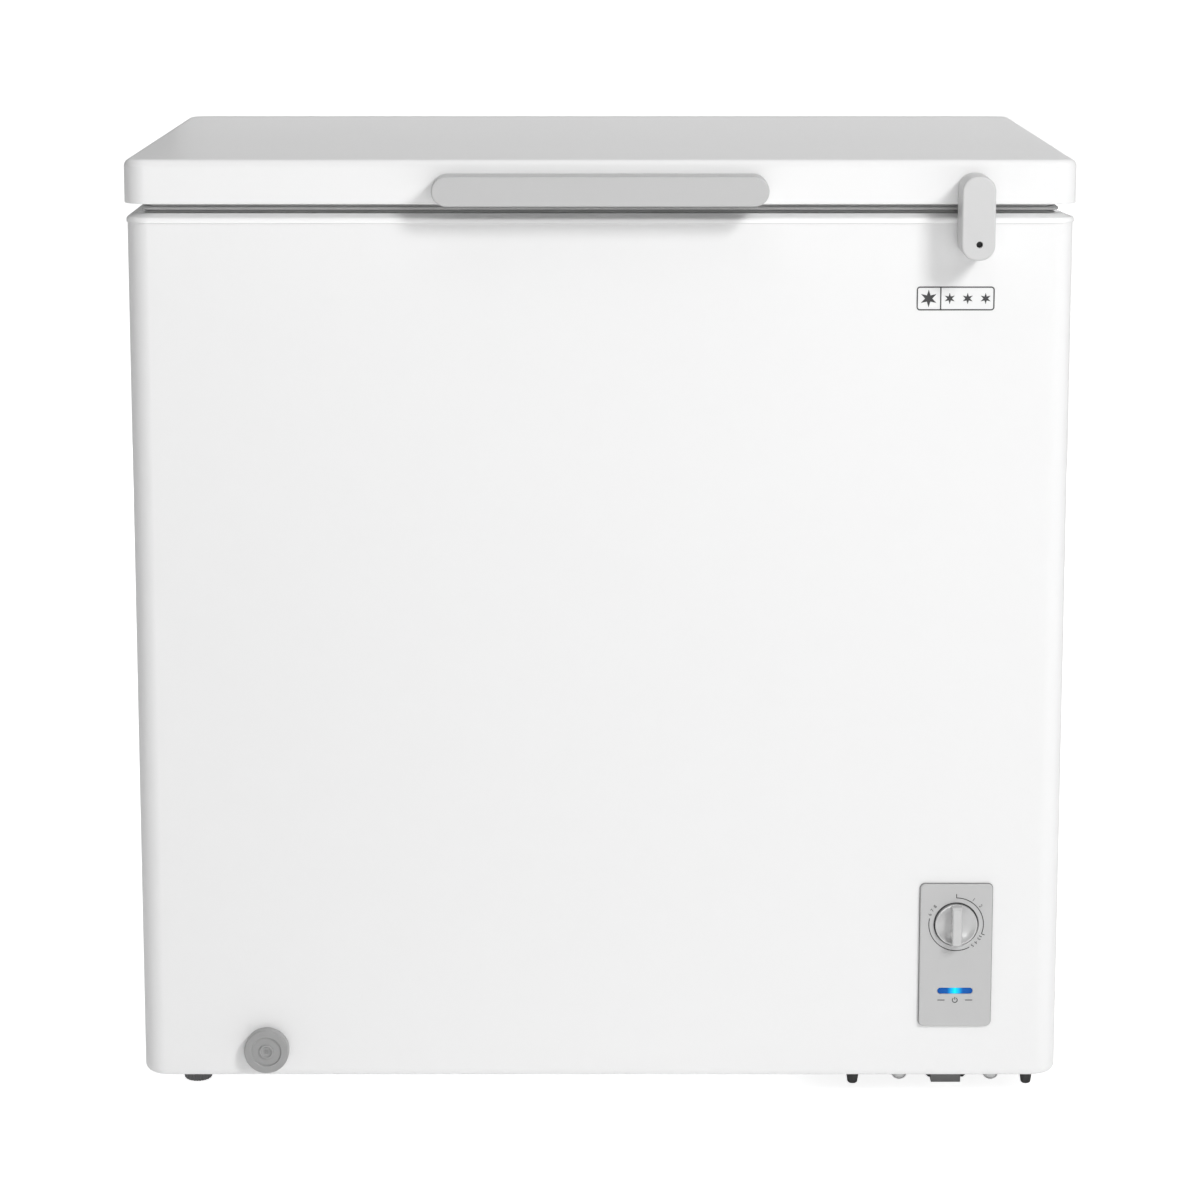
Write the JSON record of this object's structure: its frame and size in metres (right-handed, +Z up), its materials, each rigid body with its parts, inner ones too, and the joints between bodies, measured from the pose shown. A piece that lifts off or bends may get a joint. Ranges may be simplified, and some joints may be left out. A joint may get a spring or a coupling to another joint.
{
  "type": "chest freezer",
  "caption": "White chest freezer with a sprung lift-up lid, grab handle, key lock, thermostat knob, light, drain and hanging basket.",
  "frame": {"origin": "middle of the footprint, on the floor that the feet stand on", "axes": "+Z up, front face towards -Y, +X to the right seen from the front (the compressor's side)"},
  "size_m": [0.83, 0.616, 0.85],
  "materials": {
    "white_enamel": "gloss",
    "liner_white": "satin",
    "white_plastic": "satin",
    "grey_plastic": "satin",
    "silver_plastic": "satin",
    "dark_plastic": "matte",
    "gasket_rubber": "matte",
    "black_rubber": "matte",
    "blue_lens": "gloss",
    "galvanised": "satin",
    "black_paint": "satin",
    "copper": "satin",
    "steel": "satin",
    "foam": "matte",
    "coated_wire": "gloss"
  },
  "bodies": {
    "cabinet": {"outer_shell": "white_enamel", "back_panel": "white_enamel", "bottom_pan": "galvanised", "inner_liner": "liner_white", "foam_insulation": "foam", "top_collar": "white_plastic", "compartment_divider": "galvanised", "compressor_base_plate": "black_paint", "compressor": "black_paint", "compressor_grommet_1": "black_rubber", "compressor_grommet_2": "black_rubber", "compressor_grommet_3": "black_rubber", "compressor_grommet_4": "black_rubber", "start_relay_cover": "dark_plastic", "condenser_coil": "copper", "evaporator_coil": "copper", "filter_drier": "copper", "capillary_tube": "copper", "discharge_pipe": "copper", "suction_pipe": "copper", "thermostat": "galvanised", "sensor_tube": "copper", "control_panel": "silver_plastic", "power_light_lens": "blue_lens", "rear_cover": "galvanised", "cable_gland": "dark_plastic", "drain_spout": "white_plastic", "hinge_case_left": "galvanised", "hinge_case_right": "galvanised", "hinge_pin_left": "steel", "hinge_pin_right": "steel", "hinge_spring_left": "steel", "hinge_spring_right": "steel", "lock_keeper": "steel", "skid_rail": "black_paint", "skid_foot_front": "grey_plastic", "skid_foot_rear": "grey_plastic", "rubber_stub_left": "black_rubber", "rubber_stub_right": "black_rubber", "base_bolt_left": "steel", "base_bolt_right": "steel"},
    "lid": {"lid_outer_skin": "white_enamel", "lid_foam": "foam", "lid_inner_panel": "white_plastic", "lid_gasket": "gasket_rubber", "lid_handle": "grey_plastic", "hinge_arm_left": "galvanised", "hinge_arm_right": "galvanised", "lock_housing": "grey_plastic"},
    "lock_barrel": {"lock_cylinder": "steel"},
    "knob": {"thermostat_knob": "silver_plastic"},
    "drain_cap": {"drain_cap": "grey_plastic"},
    "drain_plug": {"drain_plug": "black_rubber"},
    "basket": {"basket": "coated_wire"},
    "plunger_left": {"hinge_plunger_left": "dark_plastic"},
    "plunger_right": {"hinge_plunger_right": "dark_plastic"},
    "foot_front": {"levelling_foot_front": "dark_plastic"},
    "foot_rear": {"levelling_foot_rear": "dark_plastic"}
  },
  "joints": [
    {"name": "lid_hinge", "type": "hinge", "parent": "cabinet", "child": "lid", "pos_m": [0, 0.29415, 0.807], "axis": [-1, 0, 0], "range_deg": [0, 80]},
    {"name": "plunger_left_slide", "type": "slide", "parent": "cabinet", "child": "plunger_left", "axis": [0, 0, 1], "range_m": [0, 0.0078], "deforming": ["hinge_spring_left"]},
    {"name": "plunger_right_slide", "type": "slide", "parent": "cabinet", "child": "plunger_right", "axis": [0, 0, 1], "range_m": [0, 0.0078], "deforming": ["hinge_spring_right"]},
    {"name": "lock_turn", "type": "hinge", "parent": "lid", "child": "lock_barrel", "pos_m": [0.326, -0.29, 0.78], "axis": [0, -1, 0], "range_deg": [0, 90]},
    {"name": "knob_turn", "type": "hinge", "parent": "cabinet", "child": "knob", "pos_m": [0.3197, -0.27, 0.1645], "axis": [0, 1, 0], "range_deg": [0, 300]},
    {"name": "drain_cap_pull", "type": "slide", "parent": "cabinet", "child": "drain_cap", "axis": [0, -1, 0], "range_m": [0, 0.03]},
    {"name": "drain_plug_lift", "type": "slide", "parent": "cabinet", "child": "drain_plug", "axis": [0, 0, 1], "range_m": [0, 0.03]},
    {"name": "basket_slide", "type": "slide", "parent": "cabinet", "child": "basket", "axis": [1, 0, 0], "range_m": [-0.47, 0]},
    {"name": "foot_front_turn", "type": "hinge", "parent": "cabinet", "child": "foot_front", "pos_m": [-0.37, -0.209, 0], "axis": [0, 0, 1], "continuous": true},
    {"name": "foot_rear_turn", "type": "hinge", "parent": "cabinet", "child": "foot_rear", "pos_m": [-0.37, 0.205, 0], "axis": [0, 0, 1], "continuous": true}
  ],
  "couplings": [
    {"joint": "plunger_left_slide", "follows": "lid_hinge", "m_per_rad": 0.0055},
    {"joint": "plunger_right_slide", "follows": "lid_hinge", "m_per_rad": 0.0055}
  ]
}
